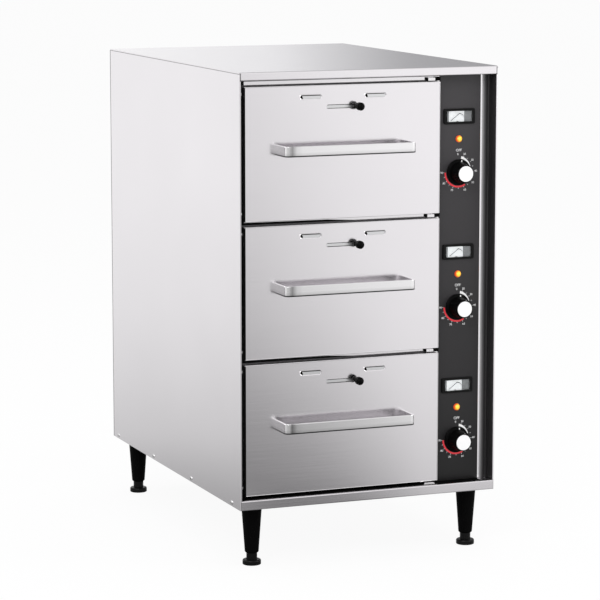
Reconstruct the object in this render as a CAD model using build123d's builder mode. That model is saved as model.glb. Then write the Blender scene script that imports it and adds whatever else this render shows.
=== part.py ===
"""Three-drawer food warmer cabinet on four adjustable legs, in millimetres.

X runs to the right seen from the front, Y runs to the back and Z up. The origin is on the floor,
in the middle of the space that the cabinet takes up with its drawers closed.
"""

import os
from math import asin, cos, sin

from build123d import *

os.makedirs("parts", exist_ok=True)

# Casing
body_width = 484
body_depth = 712
body_height = 758
leg_height = 106
sheet = 1.2
bend = 2
edge_return = 2.6
rear_return = 22
top_flange = 14.5
base_flange = 17
flange_lip = 8
seam_gap = 0.4
front_recess = 27

# Drawers
drawer_gap = 8.8
drawer_clearance_below = 4.4
drawer_clearance_above = 25.8
drawer_face_depth = 13
drawer_skin = 1
drawer_corner = 3
drawer_edge = 1.5
drawer_thickness = 10
left_channel = 11.5
panel_gap = 5.2
frame_overlap = 6

# Food pan, 325 by 530 by 150, in the room that the drawer leaves round it
pan_side_room = 20.6
pan_rear_room = 128.6
pan_top_room = 46
pan_sheet = 0.8
pan_rim = 11
pan_corner = 45
pan_rim_corner = 18
pan_bottom_radius = 16
pan_taper = 3
pan_clearance = 1
pan_bottom_height = 35
rim_fold = 3
frame_web = 46
frame_lip = 7
frame_rise = 6

# Telescopic slides
slide_thickness = 12.7
slide_height = 45
slide_rear_room = 57.8
slide_metal = 1.4
slide_step = 3
slide_air = 1
slide_fit = 0.3

# Handle
handle_length = 245
handle_height = 18
handle_strap = 4
handle_standoff = 40
handle_bend = 10
handle_rise = 6
handle_edge = 0.8

# Drawer vents
vent_length = 40
vent_height = 8
vent_spacing = 120.6
vent_drop = 20
slot_length = 60
slot_height = 7
slot_drop = 37.5
slot_offset = 1.6
vent_plate_margin = 8
guide_depth = 4
vent_plate_sheet = 1
vent_fit = 0.3
vent_shank = 6
vent_neck = 9
vent_head = 14
vent_knob_reach = 24
vent_head_length = 13
vent_head_edge = 1

# Control panel
panel_width = 78
panel_sheet = 1.5
post_width = 20.2
control_offset = 2.3
gauge_width = 60
gauge_height = 27
gauge_proud = 3.5
gauge_frame = 4
gauge_side_frame = 6
gauge_housing = 30
gauge_corner = 3
gauge_level = 168.2
lamp_level = 128.4
lamp_diameter = 12
lamp_hole = 10
lamp_dome = 4
lamp_body = 22
knob_level = 69.3
knob_skirt = 46
knob_skirt_thickness = 4
knob_base = 37
knob_tip = 31
knob_length = 31
knob_edge = 1
knob_gap = 1
cap_diameter = 28
cap_thickness = 1.6
shaft_diameter = 6
shaft_fit = 0.1
thermostat_diameter = 36
thermostat_length = 24

# Legs and feet
leg_inset_side = 36
leg_inset_front = 42
leg_top_diameter = 36.5
leg_bottom_diameter = 24.5
leg_sleeve_length = 85
leg_chamfer = 2
leg_stud = 10
leg_stud_reach = 9
foot_stem = 19
foot_engaged = 20
foot_diameter = 32.5
foot_height = 9
foot_round = 2.5
foot_fit = 0.1
foot_travel = 25
channel_width = 64
channel_sheet = 2.5

# Heater, wiring and rear wall
heater_diameter = 8
heater_level = 14
heater_length = 400
heater_spacing = 200
heater_bend = 30
liner_gap = 26
gland_diameter = 20
gland_bore = 9
gland_hex = 24
gland_nut = 5
gland_reach = 14
gland_level = 60
louvre_length = 60
louvre_height = 5
louvre_pitch = 14
louvre_count = 8
louvre_drop = 90
screw_head = 8
screw_dome = 1.8
screw_shank = 3.6
screw_length = 7
stile_screw_length = 3
side_screw_level = 6.5
side_screw_first = 44
side_screw_last = 32
side_screw_count = 4
stile_screw_head = 5
stile_screw_dome = 1.2
stile_screw_inset = 13
stile_screw_edge = 3.4

# Where things lie, worked out from the sizes above
levels = ("bottom", "middle", "top")
front_reach = handle_standoff - drawer_face_depth
front_y = (front_reach - body_depth - gland_reach) / 2
rear_y = front_y + body_depth
middle_y = (front_y + rear_y) / 2
left_x = -body_width / 2
right_x = body_width / 2
bottom_z = leg_height
top_z = bottom_z + body_height
shelf_z = bottom_z + base_flange
roof_z = top_z - sheet
inner_width = body_width - 2 * sheet
frame_y = front_y + front_recess
face_y = front_y + drawer_face_depth
first_drawer_z = shelf_z + drawer_clearance_below
drawers_height = top_z - drawer_clearance_above - first_drawer_z
drawer_pitch = (drawers_height + drawer_gap) / len(levels)
drawer_height = drawer_pitch - drawer_gap
panel_right_x = right_x - sheet - seam_gap - post_width
panel_left_x = panel_right_x - panel_width
panel_x = (panel_left_x + panel_right_x) / 2
drawer_left_x = left_x + sheet + left_channel
drawer_right_x = panel_left_x - panel_gap
drawer_x = (drawer_left_x + drawer_right_x) / 2
drawer_width = drawer_right_x - drawer_left_x
pan_width = drawer_width - 2 * pan_side_room
pan_depth = drawer_height - pan_bottom_height - pan_top_room
panel_y = frame_y - panel_sheet
control_x = panel_x - control_offset
frame_inner_width = pan_width + 2 * pan_clearance
frame_width = frame_inner_width + 2 * sheet
bay_width = frame_width + 2 * (slide_thickness + slide_fit)
bay_left_x = drawer_x - bay_width / 2
bay_right_x = drawer_x + bay_width / 2
bay_front_y = frame_y + sheet
liner_rear_y = rear_y - liner_gap
drawer_back_y = face_y + drawer_thickness
frame_inner_length = liner_rear_y - pan_rear_room - drawer_back_y - 2 * sheet
pan_length = frame_inner_length - 2 * pan_clearance
pan_rim_z = pan_bottom_height + pan_depth
pan_y = drawer_back_y + sheet + frame_inner_length / 2
slide_length = liner_rear_y - slide_rear_room - bay_front_y
side_screw_pitch = (body_depth - side_screw_first - side_screw_last) / (side_screw_count - 1)
rear_width = inner_width - 2 * bend
rear_bottom_z = shelf_z + seam_gap
rear_height = roof_z - bend - rear_bottom_z
rear_screw_x = inner_width / 2 - rear_return / 2
rear_screw_rise = rear_height / 2 - 2 * rear_return
rear_screw_places = [
    (hand * rear_screw_x, rear_bottom_z + rear_height / 2 + step * rear_screw_rise)
    for hand in (-1, 1)
    for step in (-1, 0, 1)
]


def facing(y):
    """Plane that looks to the front at depth y, with X to the right and Z up."""
    return Plane(origin=(0, y, 0), x_dir=(1, 0, 0), z_dir=(0, -1, 0))


def folded(points, thickness, side=Side.LEFT, radius=bend):
    """Section of a sheet bent along the points, with its thickness on one side of them."""
    with BuildSketch() as section:
        with BuildLine():
            FilletPolyline(*points, radius=radius)
            offset(amount=thickness, side=side)
        make_face()
    return section.sketch


def drawer_base(level):
    """Height of the lower edge of a drawer front."""
    return first_drawer_z + levels.index(level) * drawer_pitch


def dome_point(radius, height):
    """Half-way point of a spherical cap's outline, from its centre line and from its top."""
    sphere = (radius**2 + height**2) / (2 * height)
    half_turn = asin(radius / sphere) / 2
    return sphere * sin(half_turn), sphere * (1 - cos(half_turn))


def write(part, name):
    part.label = name
    export_step(part, f"parts/{name}.step")


def side_panel(hand):
    """Side wall with a narrow fold at the front edge and a wide one at the back."""
    outer = hand * body_width / 2
    side = Side.RIGHT if hand < 0 else Side.LEFT
    outline = [
        (outer - hand * edge_return, front_y),
        (outer, front_y),
        (outer, rear_y),
        (outer - hand * rear_return, rear_y),
    ]
    low_zone = base_flange + seam_gap
    high_zone = top_flange - sheet + seam_gap
    with BuildPart() as panel:
        with BuildSketch(Plane.XY.offset(bottom_z)):
            add(folded(outline, sheet, side))
        extrude(amount=body_height - sheet)
        with BuildSketch(Plane.XZ):
            inside = outer - hand * (sheet + rear_return)
            for zone, height in ((bottom_z, low_zone), (roof_z - high_zone, high_zone)):
                with Locations((inside, zone + height / 2)):
                    Rectangle(2 * rear_return, height)
        extrude(amount=body_depth, both=True, mode=Mode.SUBTRACT)
        screw_y = front_y + side_screw_first
        with BuildSketch(Plane.YZ):
            for step in range(side_screw_count):
                with Locations((screw_y + step * side_screw_pitch, bottom_z + side_screw_level)):
                    Circle(screw_shank / 2 + seam_gap)
        extrude(amount=hand * body_width, mode=Mode.SUBTRACT)
        with BuildSketch(facing(rear_y)):
            with Locations(*rear_screw_places):
                Circle(screw_shank / 2 + seam_gap)
        extrude(amount=sheet, mode=Mode.SUBTRACT)
    return panel.part


write(side_panel(-1), "left_side_panel")
write(side_panel(1), "right_side_panel")

# Top: one sheet over both side walls, with a lipped flange at the front and a plain one behind
flange_width = inner_width - 2 * seam_gap
with BuildPart() as top_panel:
    top_outline = [
        (front_y + flange_lip, top_z - top_flange),
        (front_y, top_z - top_flange),
        (front_y, top_z),
        (rear_y, top_z),
        (rear_y, top_z - top_flange),
    ]
    with BuildSketch(Plane.YZ.offset(-flange_width / 2)):
        add(folded(top_outline, sheet, Side.RIGHT))
    extrude(amount=flange_width)
    with BuildSketch(Plane.XY.offset(roof_z)):
        with Locations((0, middle_y)):
            Rectangle(body_width, body_depth - 2 * bend)
    extrude(amount=sheet)
write(top_panel.part, "top_panel")

# Base: a shelf with flanges turned down on all four sides
with BuildPart() as base_pan:
    base_outline = [
        (front_y + flange_lip, bottom_z),
        (front_y, bottom_z),
        (front_y, shelf_z),
        (rear_y, shelf_z),
        (rear_y, bottom_z),
    ]
    with BuildSketch(Plane.YZ.offset(-flange_width / 2)):
        add(folded(base_outline, sheet, Side.RIGHT))
    extrude(amount=flange_width)
    with BuildSketch(Plane.XY.offset(bottom_z)):
        for hand in (-1, 1):
            with Locations((hand * (flange_width - sheet) / 2, middle_y)):
                Rectangle(sheet, body_depth - 2 * flange_lip)
    extrude(amount=base_flange - sheet / 2)
    with BuildSketch(Plane.YZ):
        for step in range(side_screw_count):
            screw_y = front_y + side_screw_first + step * side_screw_pitch
            with Locations((screw_y, bottom_z + side_screw_level)):
                Circle(screw_shank / 2)
    extrude(amount=body_width, both=True, mode=Mode.SUBTRACT)
write(base_pan.part, "base_pan")

# Channels under the shelf that take the studs of the legs
leg_x = body_width / 2 - leg_inset_side
leg_y = body_depth / 2 - leg_inset_front
leg_places = [(hand * leg_x, middle_y + end * leg_y) for hand in (-1, 1) for end in (-1, 1)]
channel_length = flange_width - 2 * (sheet + seam_gap)
channel_height = base_flange - sheet - seam_gap
with BuildPart() as leg_channels:
    for end in (-1, 1):
        centre = middle_y + end * leg_y
        channel_outline = [
            (centre - channel_width / 2, bottom_z + channel_height),
            (centre - channel_width / 2, bottom_z),
            (centre + channel_width / 2, bottom_z),
            (centre + channel_width / 2, bottom_z + channel_height),
        ]
        with BuildSketch(Plane.YZ.offset(-channel_length / 2)):
            add(folded(channel_outline, channel_sheet, Side.LEFT, channel_sheet + sheet))
        extrude(amount=channel_length)
    with BuildSketch(Plane.XY.offset(bottom_z)):
        with Locations(*leg_places):
            Circle(leg_stud / 2 + seam_gap)
    extrude(amount=channel_sheet, mode=Mode.SUBTRACT)
write(leg_channels.part, "leg_channels")

# Rear panel inside the folds of the side walls, with slots over the controls and a gland hole
rear_outer_y = rear_y - sheet
wall_x = bay_right_x + sheet
controls_x = (wall_x + right_x - sheet) / 2
gland_z = bottom_z + gland_level
with BuildPart() as rear_panel:
    with BuildSketch(facing(rear_outer_y)):
        with Locations((0, rear_bottom_z + rear_height / 2)):
            Rectangle(rear_width, rear_height)
        louvre_middle_z = roof_z - louvre_drop - louvre_pitch * (louvre_count - 1) / 2
        with Locations((controls_x, louvre_middle_z)):
            with GridLocations(louvre_length, louvre_pitch, 1, louvre_count):
                SlotOverall(louvre_length, louvre_height, mode=Mode.SUBTRACT)
        with Locations((controls_x, gland_z)):
            Circle(gland_diameter / 2 + seam_gap, mode=Mode.SUBTRACT)
        with Locations(*rear_screw_places):
            Circle(screw_shank / 2, mode=Mode.SUBTRACT)
    extrude(amount=sheet)
write(rear_panel.part, "rear_panel")

# Face frame round the three drawer openings, with the holes of the stile's screws
opening_height = drawer_height - 2 * frame_overlap
frame_left_x = left_x + sheet + seam_gap
frame_right_x = panel_left_x + frame_overlap
frame_height = roof_z - seam_gap - rear_bottom_z
stile_right_x = bay_left_x - seam_gap
stile_x = (frame_left_x + stile_right_x) / 2
stile_screw_x = stile_right_x - stile_screw_edge
stile_places = []
for level in levels:
    stile_places.append((stile_screw_x, drawer_base(level) + stile_screw_inset))
    stile_places.append((stile_screw_x, drawer_base(level) + drawer_height - stile_screw_inset))
with BuildPart() as face_frame:
    with BuildSketch(facing(frame_y)):
        with Locations(((frame_left_x + frame_right_x) / 2, rear_bottom_z + frame_height / 2)):
            Rectangle(frame_right_x - frame_left_x, frame_height)
        for level in levels:
            with Locations((drawer_x, drawer_base(level) + drawer_height / 2)):
                Rectangle(bay_width, opening_height, mode=Mode.SUBTRACT)
        with Locations(*stile_places):
            Circle(screw_shank / 2, mode=Mode.SUBTRACT)
    extrude(amount=-sheet)
write(face_frame.part, "face_frame")

# Dark stile at the left of the drawers, held by two small screws at each drawer
with BuildPart() as left_stile:
    with BuildSketch(facing(frame_y)):
        with Locations((stile_x, rear_bottom_z + frame_height / 2)):
            Rectangle(stile_right_x - frame_left_x, frame_height)
        with Locations(*stile_places):
            Circle(screw_shank / 2, mode=Mode.SUBTRACT)
    extrude(amount=sheet)
write(left_stile.part, "left_stile")

# Wall between the drawers and the controls, flanged to the front frame and the rear panel
wall_flange = 14
wall_bottom_z = rear_bottom_z
with BuildPart() as compartment_wall:
    wall_outline = [
        (bay_right_x + wall_flange, bay_front_y),
        (bay_right_x, bay_front_y),
        (bay_right_x, rear_outer_y - sheet),
        (bay_right_x + wall_flange, rear_outer_y - sheet),
    ]
    with BuildSketch(Plane.XY.offset(wall_bottom_z)):
        add(folded(wall_outline, sheet, Side.RIGHT))
    extrude(amount=frame_height)
write(compartment_wall.part, "compartment_wall")

# Heater ends, which pass through the back of the liner and the wool behind it
heater_ends = [
    (drawer_x + hand * heater_spacing / 2, drawer_base(level) + heater_level)
    for hand in (-1, 1)
    for level in levels
]

# Liner round the bays: left wall and back wall in one bent sheet
liner_right_x = bay_right_x - seam_gap
with BuildPart() as bay_liner:
    liner_outline = [
        (bay_left_x, bay_front_y + seam_gap),
        (bay_left_x, liner_rear_y),
        (liner_right_x, liner_rear_y),
    ]
    with BuildSketch(Plane.XY.offset(wall_bottom_z)):
        add(folded(liner_outline, sheet, Side.LEFT, bend + sheet))
    extrude(amount=frame_height)
    with BuildSketch(facing(rear_y)):
        with Locations(*heater_ends):
            Circle(heater_diameter / 2 + seam_gap)
    extrude(amount=liner_gap + sheet, mode=Mode.SUBTRACT)
write(bay_liner.part, "bay_liner")

# Floors of the three bays and the ceiling of the top one, turned down at their edges
floor_fold = 8
floor_drop = (drawer_gap + sheet) / 2
floor_width = bay_width - 2 * seam_gap
floor_front_y = bay_front_y + seam_gap
floor_rear_y = liner_rear_y - bend - sheet
floor_length = floor_rear_y - floor_front_y
floor_y = (floor_front_y + floor_rear_y) / 2
with BuildPart() as bay_floors:
    for step in range(1, len(levels) + 1):
        floor_z = first_drawer_z + step * drawer_pitch - floor_drop
        floor_outline = [
            (drawer_x - floor_width / 2, floor_z - floor_fold),
            (drawer_x - floor_width / 2, floor_z),
            (drawer_x + floor_width / 2, floor_z),
            (drawer_x + floor_width / 2, floor_z - floor_fold),
        ]
        with BuildSketch(facing(floor_y + floor_length / 2)):
            add(folded(floor_outline, sheet, Side.RIGHT))
        extrude(amount=floor_length)
write(bay_floors.part, "bay_floors")

# Mineral wool: a slab at the left of the bays, one behind them and one above
wool_gap = 0.5
with BuildPart() as insulation:
    side_wool = bay_left_x - sheet - left_x - sheet - 2 * wool_gap
    wool_height = frame_height - 2 * wool_gap
    wool_length = floor_length - 2 * wool_gap
    with BuildSketch(Plane.XY.offset(wall_bottom_z + wool_gap)):
        with Locations((left_x + sheet + wool_gap + side_wool / 2, floor_y)):
            Rectangle(side_wool, wool_length)
        rear_wool = rear_outer_y - sheet - liner_rear_y - sheet - 2 * wool_gap
        with Locations((drawer_x, liner_rear_y + sheet + wool_gap + rear_wool / 2)):
            Rectangle(bay_width - 2 * wool_gap, rear_wool)
    extrude(amount=wool_height)
    ceiling_z = first_drawer_z + len(levels) * drawer_pitch - floor_drop
    roof_wool = roof_z - ceiling_z - 2 * wool_gap
    with BuildSketch(Plane.XY.offset(ceiling_z + wool_gap)):
        with Locations((drawer_x, floor_y)):
            Rectangle(floor_width - 2 * wool_gap, floor_length - 2 * wool_gap)
    extrude(amount=roof_wool)
    with BuildSketch(facing(rear_y)):
        with Locations(*heater_ends):
            Circle(heater_diameter / 2 + seam_gap)
    extrude(amount=liner_gap + sheet, mode=Mode.SUBTRACT)
write(insulation.part, "insulation")

# Control panel with its openings for thermometers, lamps and thermostat shafts
gauge_hole_width = gauge_width - gauge_side_frame
gauge_hole_height = gauge_height - gauge_frame
with BuildPart() as control_panel:
    with BuildSketch(facing(frame_y)):
        with Locations((panel_x, rear_bottom_z + frame_height / 2)):
            Rectangle(panel_width, frame_height)
        for level in levels:
            base = drawer_base(level)
            with Locations((control_x, base + gauge_level)):
                Rectangle(gauge_hole_width, gauge_hole_height, mode=Mode.SUBTRACT)
            with Locations((control_x, base + lamp_level)):
                Circle(lamp_hole / 2, mode=Mode.SUBTRACT)
            with Locations((control_x, base + knob_level)):
                Circle(shaft_diameter / 2 + seam_gap, mode=Mode.SUBTRACT)
    extrude(amount=panel_sheet)
write(control_panel.part, "control_panel")

# Post between the control panel and the right side wall, rounded towards the panel
post_bend = 5
post_depth = 16
with BuildPart() as control_post:
    post_left_x = panel_right_x + seam_gap
    post_right_x = right_x - sheet - seam_gap
    post_outline = [
        (post_left_x, panel_y + post_depth),
        (post_left_x, panel_y),
        (post_right_x, panel_y),
        (post_right_x, panel_y + post_depth),
    ]
    with BuildSketch(Plane.XY.offset(rear_bottom_z)):
        add(folded(post_outline, sheet, Side.LEFT, post_bend))
    extrude(amount=frame_height)
write(control_post.part, "control_post")

# Thermometers: moulded frame with a housing behind the panel, printed dial, clear window
with BuildPart() as gauge_bezels:
    for level in levels:
        gauge_z = drawer_base(level) + gauge_level
        with BuildSketch(facing(panel_y)):
            with Locations((control_x, gauge_z)):
                RectangleRounded(gauge_width, gauge_height, gauge_corner)
        extrude(amount=gauge_proud)
        rim = faces().sort_by(Axis.Y)[0].outer_wire().edges()
        fillet(rim, gauge_corner / 3)
        with BuildSketch(facing(panel_y)):
            with Locations((control_x, gauge_z)):
                Rectangle(gauge_hole_width - seam_gap, gauge_hole_height - seam_gap)
        extrude(amount=-gauge_housing)
        with BuildSketch(facing(panel_y - gauge_proud)):
            with Locations((control_x, gauge_z)):
                Rectangle(gauge_width - 2 * gauge_side_frame, gauge_height - 2 * gauge_frame)
        extrude(amount=-gauge_proud, mode=Mode.SUBTRACT)
write(gauge_bezels.part, "gauge_bezels")

dial_thickness = 0.6
lens_thickness = 1.2
dial_width = gauge_width - 2 * gauge_side_frame - seam_gap
dial_height = gauge_height - 2 * gauge_frame - seam_gap
with BuildPart() as gauge_dials:
    with BuildSketch(facing(panel_y)):
        for level in levels:
            with Locations((control_x, drawer_base(level) + gauge_level)):
                Rectangle(dial_width, dial_height)
    extrude(amount=dial_thickness)
write(gauge_dials.part, "gauge_dials")

with BuildPart() as gauge_windows:
    with BuildSketch(facing(panel_y - gauge_proud + lens_thickness + seam_gap)):
        for level in levels:
            with Locations((control_x, drawer_base(level) + gauge_level)):
                Rectangle(dial_width, dial_height)
    extrude(amount=lens_thickness)
write(gauge_windows.part, "gauge_windows")

# Amber pilot lamps: dome and collar in front, body through the panel
lamp_collar = 1.2
lamp_body_radius = (lamp_hole - seam_gap) / 2
dome_radius = lamp_diameter / 2 - lamp_collar / 2
dome_x, dome_drop = dome_point(dome_radius, lamp_dome)
with BuildPart() as pilot_lamps:
    for level in levels:
        centre = (control_x, panel_y, drawer_base(level) + lamp_level)
        with BuildSketch(Plane(origin=centre, x_dir=(1, 0, 0), z_dir=(0, 0, 1))):
            with BuildLine():
                collar_edge = Polyline(
                    (0, -lamp_collar - lamp_dome),
                    (0, lamp_body),
                    (lamp_body_radius, lamp_body),
                    (lamp_body_radius, 0),
                    (lamp_diameter / 2, 0),
                    (lamp_diameter / 2, -lamp_collar),
                    (dome_radius, -lamp_collar),
                )
                dome_side = (dome_x, dome_drop - lamp_collar - lamp_dome)
                ThreePointArc(collar_edge @ 1, dome_side, collar_edge @ 0)
            make_face()
        revolve(axis=Axis(centre, (0, 1, 0)))
write(pilot_lamps.part, "pilot_lamps")

# Capillary thermostats behind the panel, each with a shaft that carries its knob
shaft_reach = knob_gap + knob_length - knob_skirt_thickness - cap_thickness
with BuildPart() as thermostats:
    for level in levels:
        with BuildSketch(facing(frame_y)):
            with Locations((control_x, drawer_base(level) + knob_level)):
                Circle(thermostat_diameter / 2)
        extrude(amount=-thermostat_length)
        with BuildSketch(facing(frame_y)):
            with Locations((control_x, drawer_base(level) + knob_level)):
                Circle(shaft_diameter / 2)
        extrude(amount=panel_sheet + shaft_reach)
write(thermostats.part, "thermostats")

# Heaters: one bent tube under each pan, its two ends through the back of the bay
heater_rear_y = rear_outer_y - sheet - 2 * wool_gap
with BuildPart() as heaters:
    for level in levels:
        heater_z = drawer_base(level) + heater_level
        with BuildLine(Plane.XY.offset(heater_z)) as heater_path:
            FilletPolyline(
                (drawer_x - heater_spacing / 2, heater_rear_y),
                (drawer_x - heater_spacing / 2, heater_rear_y - heater_length),
                (drawer_x + heater_spacing / 2, heater_rear_y - heater_length),
                (drawer_x + heater_spacing / 2, heater_rear_y),
                radius=heater_bend,
            )
        with BuildSketch(Plane(heater_path.line @ 0, z_dir=heater_path.line % 0)):
            Circle(heater_diameter / 2)
        sweep(path=heater_path.line)
write(heaters.part, "heaters")

# Cable gland in the rear panel: thread, nut inside, hexagon and dome outside, open bore
with BuildPart() as cable_gland:
    inner_face_y = rear_outer_y - sheet
    with BuildSketch(facing(inner_face_y - gland_nut)):
        with Locations((controls_x, gland_z)):
            Circle(gland_diameter / 2)
    extrude(amount=-(gland_nut + sheet + gland_nut))
    for start in (inner_face_y, rear_outer_y + gland_nut):
        with BuildSketch(facing(start)):
            with Locations((controls_x, gland_z)):
                RegularPolygon(gland_hex / 2, 6, major_radius=False)
        extrude(amount=gland_nut)
    with BuildSketch(facing(rear_outer_y + gland_nut)):
        with Locations((controls_x, gland_z)):
            Circle(gland_diameter / 2)
    extrude(amount=-(gland_reach + sheet - gland_nut))
    tail = faces().sort_by(Axis.Y)[-1].edges()
    fillet(tail, gland_diameter / 6)
    with BuildSketch(facing(inner_face_y - gland_nut)):
        with Locations((controls_x, gland_z)):
            Circle(gland_bore / 2)
    extrude(amount=-body_depth, mode=Mode.SUBTRACT)
write(cable_gland.part, "cable_gland")

# Terminal block on the shelf behind the controls, with a barrier between each pair of screws
terminal_length = 70
terminal_width = 26
terminal_height = 14
terminal_count = 6
terminal_barrier = 2
terminal_setback = 140
with BuildPart() as terminal_block:
    terminal_y = rear_y - terminal_setback
    with BuildSketch(Plane.XY.offset(shelf_z)):
        with Locations((controls_x, terminal_y)):
            Rectangle(terminal_width, terminal_length)
    extrude(amount=terminal_height)
    with BuildSketch(Plane.XY.offset(shelf_z + terminal_height)):
        with Locations((controls_x, terminal_y)):
            cell = (terminal_length - terminal_barrier) / terminal_count
            with GridLocations(terminal_width, cell, 1, terminal_count + 1):
                Rectangle(terminal_width, terminal_barrier)
    extrude(amount=terminal_height / 2)
write(terminal_block.part, "terminal_block")

# Legs: tapered sleeves with a stud into the channels and a bore for the foot
sleeve_bottom_z = bottom_z - leg_sleeve_length
stem_socket = foot_engaged + foot_travel
with BuildPart() as leg_sleeves:
    for x, y in leg_places:
        with BuildSketch(Plane(origin=(x, y, 0), x_dir=(1, 0, 0), z_dir=(0, -1, 0))):
            with BuildLine():
                Polyline(
                    (0, sleeve_bottom_z),
                    (leg_bottom_diameter / 2 - leg_chamfer, sleeve_bottom_z),
                    (leg_bottom_diameter / 2, sleeve_bottom_z + leg_chamfer),
                    (leg_top_diameter / 2, bottom_z),
                    (leg_stud / 2, bottom_z),
                    (leg_stud / 2, bottom_z + leg_stud_reach),
                    (0, bottom_z + leg_stud_reach),
                    close=True,
                )
            make_face()
        revolve(axis=Axis((x, y, 0), (0, 0, 1)))
    with BuildSketch(Plane.XY.offset(sleeve_bottom_z)):
        with Locations(*leg_places):
            Circle(foot_stem / 2 + foot_fit)
    extrude(amount=stem_socket, mode=Mode.SUBTRACT)
write(leg_sleeves.part, "leg_sleeves")

# Adjustable feet: a stem that slides in the sleeve over a rounded pad
foot_names = ("foot_front_left", "foot_rear_left", "foot_front_right", "foot_rear_right")
stem_top_z = sleeve_bottom_z + stem_socket - foot_round
for name, (x, y) in zip(foot_names, leg_places):
    with BuildPart() as foot:
        with Locations((x, y, 0)):
            Cylinder(foot_diameter / 2, foot_height, align=(Align.CENTER, Align.CENTER, Align.MIN))
        fillet(foot.edges().group_by(Axis.Z)[-1], foot_round)
        fillet(foot.edges().group_by(Axis.Z)[0], foot_round / 2)
        with Locations((x, y, 0)):
            Cylinder(foot_stem / 2, stem_top_z, align=(Align.CENTER, Align.CENTER, Align.MIN))
    write(foot.part, name)


def screw(head, dome, length):
    """Domed screw along Z: its head stands above the origin and its shank below."""
    head_edge = dome / 3
    dome_x, dome_drop = dome_point(head / 2, dome - head_edge)
    shank = screw_shank / 2 - foot_fit
    with BuildPart() as domed_screw:
        with BuildSketch(Plane.XZ):
            with BuildLine():
                edge = Polyline(
                    (0, dome),
                    (0, -length),
                    (shank, -length),
                    (shank, 0),
                    (head / 2, 0),
                    (head / 2, head_edge),
                )
                ThreePointArc(edge @ 1, (dome_x, dome - dome_drop), edge @ 0)
            make_face()
        revolve(axis=Axis.Z)
    return domed_screw.part


# Casing screws: along the foot of both side walls, and up the two edges of the rear panel
with BuildPart() as casing_screws:
    casing_screw = screw(screw_head, screw_dome, screw_length)
    for hand in (-1, 1):
        for step in range(side_screw_count):
            screw_y = front_y + side_screw_first + step * side_screw_pitch
            place = (hand * body_width / 2, screw_y, bottom_z + side_screw_level)
            with Locations(Plane(origin=place, x_dir=(0, 1, 0), z_dir=(hand, 0, 0))):
                add(casing_screw)
    for x, z in rear_screw_places:
        with Locations(Plane(origin=(x, rear_y, z), x_dir=(1, 0, 0), z_dir=(0, 1, 0))):
            add(casing_screw)
write(casing_screws.part, "casing_screws")

with BuildPart() as stile_screws:
    stile_screw = screw(stile_screw_head, stile_screw_dome, stile_screw_length)
    for x, z in stile_places:
        place = (x, frame_y - sheet, z)
        with Locations(Plane(origin=place, x_dir=(1, 0, 0), z_dir=(0, -1, 0))):
            add(stile_screw)
write(stile_screws.part, "stile_screws")


def slide_pair(heights, start, reach, half_height, opens_inward):
    """Left and right members of a slide stage; start and reach are measured from the bay wall."""
    with BuildPart() as pair:
        with BuildSketch(facing(bay_front_y)):
            for hand in (-1, 1):
                wall = drawer_x + hand * bay_width / 2
                web = wall - hand * (start if opens_inward else reach)
                lips = wall - hand * (reach if opens_inward else start)
                outline = [
                    (lips, -half_height),
                    (web, -half_height),
                    (web, half_height),
                    (lips, half_height),
                ]
                side = Side.LEFT if (hand > 0) == opens_inward else Side.RIGHT
                with Locations(*[(0, height) for height in heights]):
                    add(folded(outline, slide_metal, side, slide_metal + slide_fit))
        extrude(amount=-slide_length)
    return pair.part


# Telescopic slides, one pair to a drawer: fixed member, middle member and the drawer's own
outer_half = slide_height / 2
middle_half = outer_half - slide_step
inner_half = middle_half - slide_step
middle_start = slide_metal + slide_air
inner_reach = slide_thickness + slide_fit
middle_reach = inner_reach - slide_metal - 1.5 * slide_air
outer_reach = middle_reach - slide_air
inner_start = middle_start + slide_metal + 1.5 * slide_air
lip_z = pan_rim_z - rim_fold
slide_heights = [drawer_base(level) + lip_z - frame_web / 2 for level in levels]
write(slide_pair(slide_heights, 0, outer_reach, outer_half, True), "slide_outers")
for level, slide_z in zip(levels, slide_heights):
    middle = slide_pair([slide_z], middle_start, middle_reach, middle_half, True)
    write(middle, f"slide_middle_{level}")
    inner = slide_pair([slide_z], inner_start, inner_reach, inner_half, False)
    write(inner, f"slide_inner_{level}")


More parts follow.
